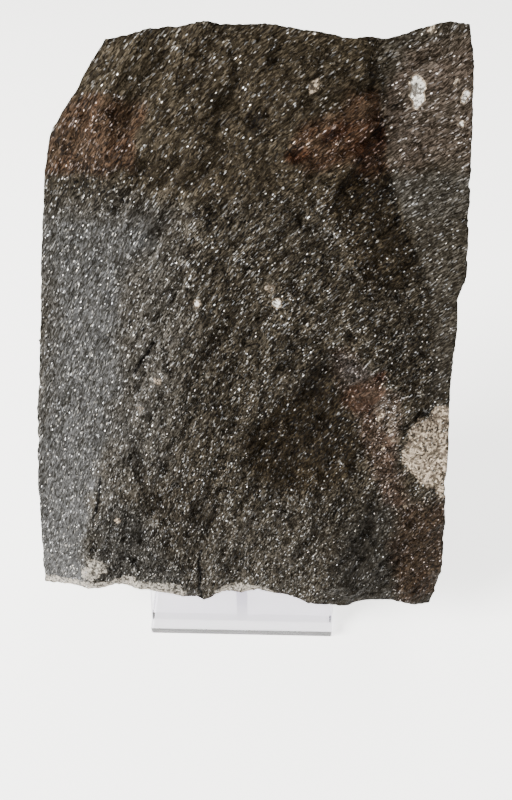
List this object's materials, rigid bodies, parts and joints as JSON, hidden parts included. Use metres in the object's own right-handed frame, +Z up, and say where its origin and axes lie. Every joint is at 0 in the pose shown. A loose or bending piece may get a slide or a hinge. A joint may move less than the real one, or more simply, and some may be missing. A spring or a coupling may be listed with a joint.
{
  "type": "lamprophyre hand specimen on a display stand",
  "caption": "Rough dark slab of mica-rich lamprophyre, leaning back on a small clear moulded display stand.",
  "frame": {"origin": "middle of the underside of the stand's base plate", "axes": "+Z up; -Y the way the slab's show face looks; +X to the right of a viewer who faces it"},
  "size_m": [0.1038, 0.08, 0.1347],
  "materials": {
    "rock": "rough fresh fracture, dark brownish grey, glittering with small mica flakes",
    "clear_plastic": "clear moulded plastic with a faint lilac cast, polished"
  },
  "bodies": {
    "root": {"lamprophyre_slab": "rock", "display_stand": "clear_plastic"}
  },
  "joints": []
}
